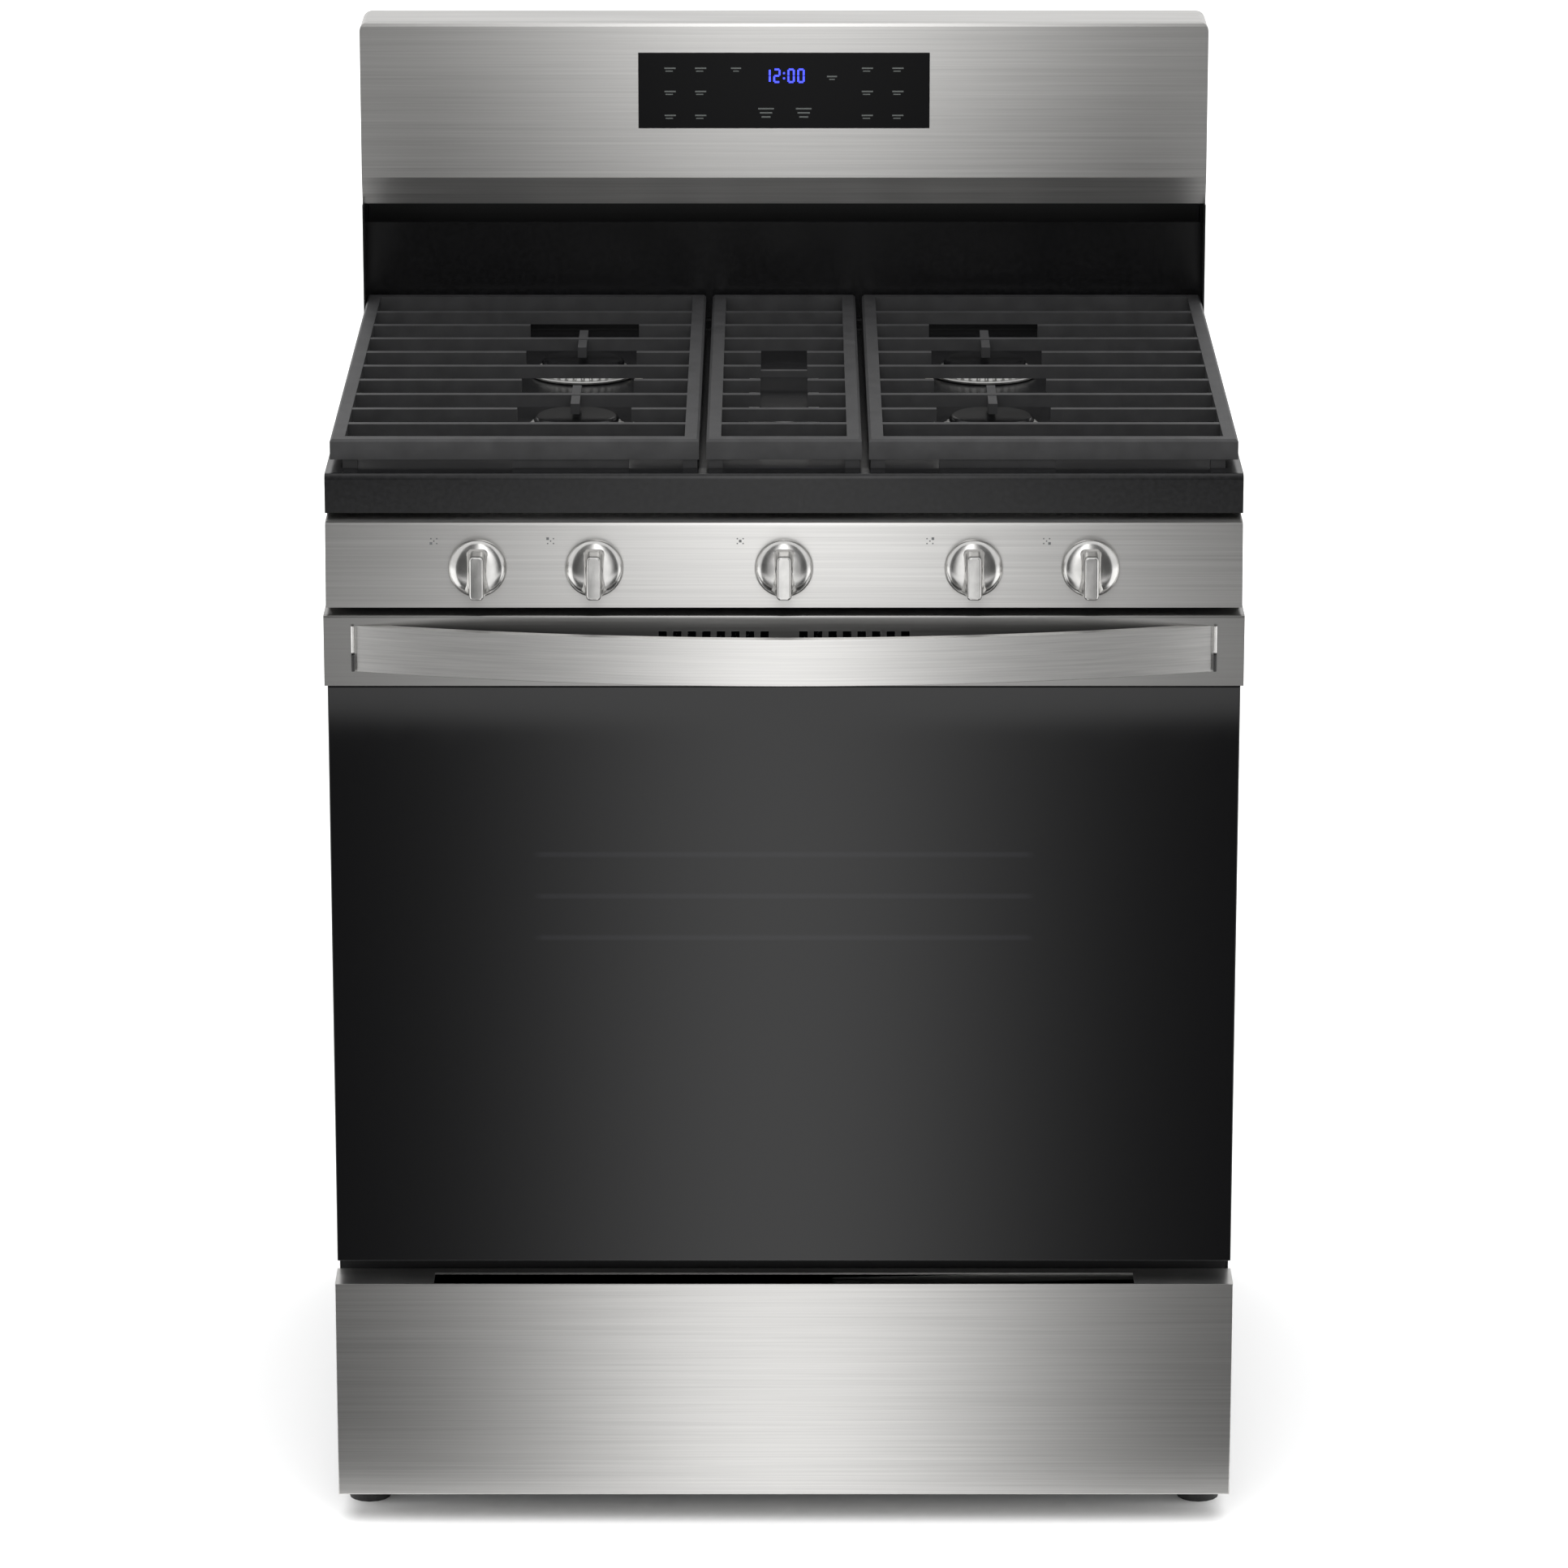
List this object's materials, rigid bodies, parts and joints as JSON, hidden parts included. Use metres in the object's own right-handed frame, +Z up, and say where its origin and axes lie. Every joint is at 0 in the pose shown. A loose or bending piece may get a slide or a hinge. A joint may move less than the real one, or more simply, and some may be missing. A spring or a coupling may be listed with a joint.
{
  "type": "freestanding gas range",
  "caption": "Freestanding gas range with a gas cooktop under hinged cast-iron grates, drop-down oven door, storage drawer and rear control console.",
  "frame": {"origin": "on the floor, under the middle of the range's overall width and depth", "axes": "+X to the viewer's right when facing the door, -Y to the front, +Z up"},
  "size_m": [0.759, 0.735, 1.1905],
  "materials": {
    "brushed_stainless": "horizontally brushed stainless steel",
    "black_enamel": "glossy black porcelain enamel",
    "painted_black": "semi-gloss black paint",
    "cast_iron": "matte black enamelled cast iron",
    "black_glass": "gloss black tempered glass",
    "window_glass": "dark tempered glass",
    "oven_enamel": "speckled dark porcelain enamel",
    "burner_aluminium": "cast, satin",
    "knob_metal": "satin metal",
    "bright_steel": "drawn steel",
    "rack_chrome": "bright nickel-chrome wire",
    "galvanised_steel": "zinc-coated sheet steel",
    "gasket_cord": "braided glass-fibre cord",
    "lamp_glass": "clear heat-proof glass",
    "foot_plastic": "moulded black plastic"
  },
  "bodies": {
    "root": {"base_frame": "galvanised_steel", "side_panel_left": "painted_black", "side_panel_right": "painted_black", "rear_panel": "galvanised_steel", "oven_front_frame": "painted_black", "oven_liner": "oven_enamel", "oven_floor": "oven_enamel", "bake_burner": "bright_steel", "broil_burner": "bright_steel", "oven_lamp": "lamp_glass", "oven_temperature_probe": "bright_steel", "door_gasket": "gasket_cord", "drawer_rail_left": "galvanised_steel", "drawer_rail_right": "galvanised_steel", "cooktop": "black_enamel", "control_panel": "brushed_stainless", "gas_manifold": "bright_steel", "gas_regulator": "burner_aluminium", "backguard_riser": "painted_black", "console_shell": "brushed_stainless", "console_back": "galvanised_steel", "control_glass": "black_glass", "hinge_arm_left": "bright_steel", "hinge_arm_right": "bright_steel", "burner_head_front_left": "burner_aluminium", "burner_head_rear_left": "burner_aluminium", "burner_head_center": "burner_aluminium", "burner_head_rear_right": "burner_aluminium", "burner_head_front_right": "burner_aluminium", "foot_front_left": "foot_plastic", "foot_front_right": "foot_plastic", "foot_rear_left": "foot_plastic", "foot_rear_right": "foot_plastic"},
    "door": {"door_liner": "painted_black", "door_window": "window_glass", "door_glass": "black_glass", "door_trim": "brushed_stainless", "door_handle": "brushed_stainless"},
    "drawer": {"drawer_front": "brushed_stainless", "drawer_box": "galvanised_steel"},
    "rack_upper": {"oven_rack_upper": "rack_chrome"},
    "rack_lower": {"oven_rack_lower": "rack_chrome"},
    "valve_front_left": {"valve_stem_front_left": "bright_steel"},
    "knob_front_left": {"knob_front_left": "knob_metal"},
    "valve_rear_left": {"valve_stem_rear_left": "bright_steel"},
    "knob_rear_left": {"knob_rear_left": "knob_metal"},
    "valve_center": {"valve_stem_center": "bright_steel"},
    "knob_center": {"knob_center": "knob_metal"},
    "valve_rear_right": {"valve_stem_rear_right": "bright_steel"},
    "knob_rear_right": {"knob_rear_right": "knob_metal"},
    "valve_front_right": {"valve_stem_front_right": "bright_steel"},
    "knob_front_right": {"knob_front_right": "knob_metal"},
    "cap_front_left": {"burner_cap_front_left": "black_enamel"},
    "cap_rear_left": {"burner_cap_rear_left": "black_enamel"},
    "cap_center": {"burner_cap_center": "black_enamel"},
    "cap_rear_right": {"burner_cap_rear_right": "black_enamel"},
    "cap_front_right": {"burner_cap_front_right": "black_enamel"},
    "grate_left": {"grate_left": "cast_iron"},
    "grate_center": {"grate_center": "cast_iron"},
    "grate_right": {"grate_right": "cast_iron"}
  },
  "joints": [
    {"name": "door_hinge", "type": "hinge", "parent": "root", "child": "door", "pos_m": [0, -0.2945, 0.245], "axis": [1, 0, 0], "range_deg": [0, 90], "stiffness_Nm_per_rad": 15, "springref_deg": -28.65},
    {"name": "drawer_slide", "type": "slide", "parent": "root", "child": "drawer", "axis": [0, -1, 0], "range_m": [0, 0.4]},
    {"name": "rack_upper_slide", "type": "slide", "parent": "root", "child": "rack_upper", "axis": [0, -1, 0], "range_m": [0, 0.03]},
    {"name": "rack_lower_slide", "type": "slide", "parent": "root", "child": "rack_lower", "axis": [0, -1, 0], "range_m": [0, 0.03]},
    {"name": "knob_turn_front_left", "type": "hinge", "parent": "root", "child": "valve_front_left", "pos_m": [-0.252, -0.31176, 0.838], "axis": [0, -0.9936, 0.1128], "range_deg": [0, 240]},
    {"name": "knob_push_front_left", "type": "slide", "parent": "valve_front_left", "child": "knob_front_left", "axis": [0, 0.9936, -0.1128], "range_m": [0, 0.003], "stiffness_N_per_m": 1500, "springref_m": -0.002},
    {"name": "knob_turn_rear_left", "type": "hinge", "parent": "root", "child": "valve_rear_left", "pos_m": [-0.156, -0.31176, 0.838], "axis": [0, -0.9936, 0.1128], "range_deg": [0, 240]},
    {"name": "knob_push_rear_left", "type": "slide", "parent": "valve_rear_left", "child": "knob_rear_left", "axis": [0, 0.9936, -0.1128], "range_m": [0, 0.003], "stiffness_N_per_m": 1500, "springref_m": -0.002},
    {"name": "knob_turn_center", "type": "hinge", "parent": "root", "child": "valve_center", "pos_m": [0, -0.31176, 0.838], "axis": [0, -0.9936, 0.1128], "range_deg": [0, 240]},
    {"name": "knob_push_center", "type": "slide", "parent": "valve_center", "child": "knob_center", "axis": [0, 0.9936, -0.1128], "range_m": [0, 0.003], "stiffness_N_per_m": 1500, "springref_m": -0.002},
    {"name": "knob_turn_rear_right", "type": "hinge", "parent": "root", "child": "valve_rear_right", "pos_m": [0.156, -0.31176, 0.838], "axis": [0, -0.9936, 0.1128], "range_deg": [0, 240]},
    {"name": "knob_push_rear_right", "type": "slide", "parent": "valve_rear_right", "child": "knob_rear_right", "axis": [0, 0.9936, -0.1128], "range_m": [0, 0.003], "stiffness_N_per_m": 1500, "springref_m": -0.002},
    {"name": "knob_turn_front_right", "type": "hinge", "parent": "root", "child": "valve_front_right", "pos_m": [0.252, -0.31176, 0.838], "axis": [0, -0.9936, 0.1128], "range_deg": [0, 240]},
    {"name": "knob_push_front_right", "type": "slide", "parent": "valve_front_right", "child": "knob_front_right", "axis": [0, 0.9936, -0.1128], "range_m": [0, 0.003], "stiffness_N_per_m": 1500, "springref_m": -0.002},
    {"name": "cap_lift_front_left", "type": "slide", "parent": "root", "child": "cap_front_left", "axis": [0, 0, 1], "range_m": [0, 0.006]},
    {"name": "cap_lift_rear_left", "type": "slide", "parent": "root", "child": "cap_rear_left", "axis": [0, 0, 1], "range_m": [0, 0.006]},
    {"name": "cap_lift_center", "type": "slide", "parent": "root", "child": "cap_center", "axis": [0, 0, 1], "range_m": [0, 0.006]},
    {"name": "cap_lift_rear_right", "type": "slide", "parent": "root", "child": "cap_rear_right", "axis": [0, 0, 1], "range_m": [0, 0.006]},
    {"name": "cap_lift_front_right", "type": "slide", "parent": "root", "child": "cap_front_right", "axis": [0, 0, 1], "range_m": [0, 0.006]},
    {"name": "grate_lift_left", "type": "hinge", "parent": "root", "child": "grate_left", "pos_m": [0, 0.3085, 0.93], "axis": [-1, 0, 0], "range_deg": [0, 65]},
    {"name": "grate_lift_center", "type": "hinge", "parent": "root", "child": "grate_center", "pos_m": [0, 0.3085, 0.93], "axis": [-1, 0, 0], "range_deg": [0, 65]},
    {"name": "grate_lift_right", "type": "hinge", "parent": "root", "child": "grate_right", "pos_m": [0, 0.3085, 0.93], "axis": [-1, 0, 0], "range_deg": [0, 65]}
  ]
}
